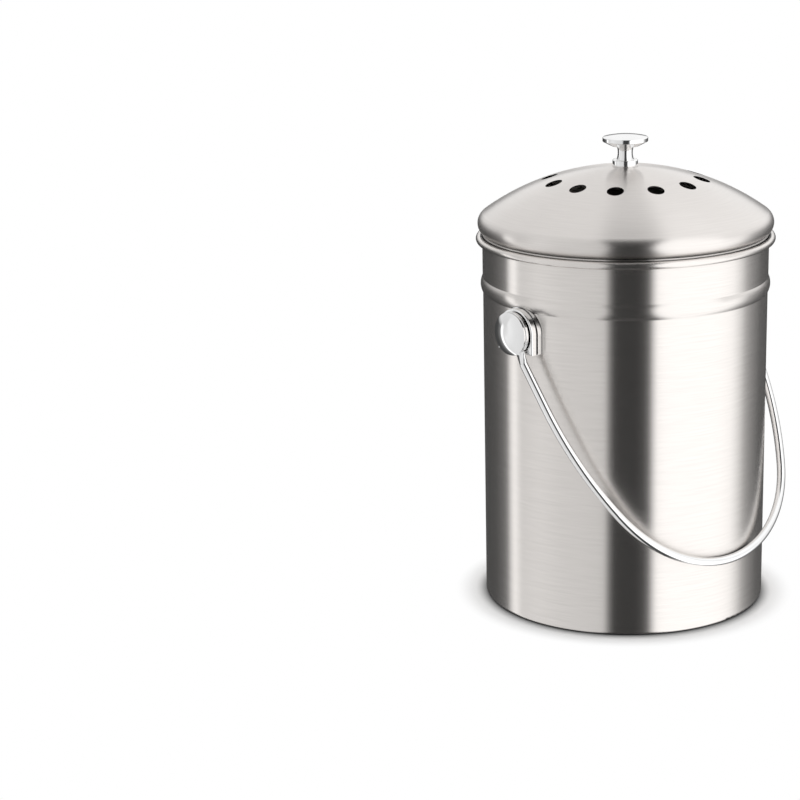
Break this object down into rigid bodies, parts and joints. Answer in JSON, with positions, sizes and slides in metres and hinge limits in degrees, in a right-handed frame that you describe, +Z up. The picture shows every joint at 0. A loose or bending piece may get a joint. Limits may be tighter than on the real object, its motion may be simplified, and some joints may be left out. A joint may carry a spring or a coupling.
{
  "type": "compost caddy",
  "caption": "Brushed stainless-steel compost caddy with a vented lift-off dome lid, a charcoal pad inside the lid, a polished knob and a swinging bail handle.",
  "frame": {"origin": "centre of the flat base, on the surface the caddy stands on", "axes": "+Z up along the caddy's axis; X along the bail's pivots, with an ear at -X and one at +X; the bail hangs in front, on the -Y side"},
  "size_m": [0.198, 0.1782, 0.281],
  "materials": {
    "brushed_steel": "brushed around the axis",
    "polished_steel": "mirror polished",
    "plain_steel": "plain turned",
    "charcoal_pad": "matte felt"
  },
  "bodies": {
    "bucket": {"bucket": "brushed_steel", "ear_left": "polished_steel", "ear_right": "polished_steel", "pivot_pin_left": "plain_steel", "pivot_pin_right": "plain_steel", "spacer_washer_left": "plain_steel", "spacer_washer_right": "plain_steel", "pivot_cap_left": "polished_steel", "pivot_cap_right": "polished_steel"},
    "lid": {"lid_shell": "brushed_steel", "lid_filter_plate": "brushed_steel", "charcoal_filter": "charcoal_pad", "lid_knob": "polished_steel", "knob_screw": "plain_steel", "knob_washer": "plain_steel"},
    "bail": {"bail_handle": "polished_steel"}
  },
  "joints": [
    {"name": "lid_lift", "type": "slide", "parent": "bucket", "child": "lid", "axis": [0, 0, 1], "range_m": [0, 0.2]},
    {"name": "bail_swing", "type": "hinge", "parent": "bucket", "child": "bail", "pos_m": [0, 0, 0.177], "axis": [-1, 0, 0], "range_deg": [0, 294.8]}
  ]
}
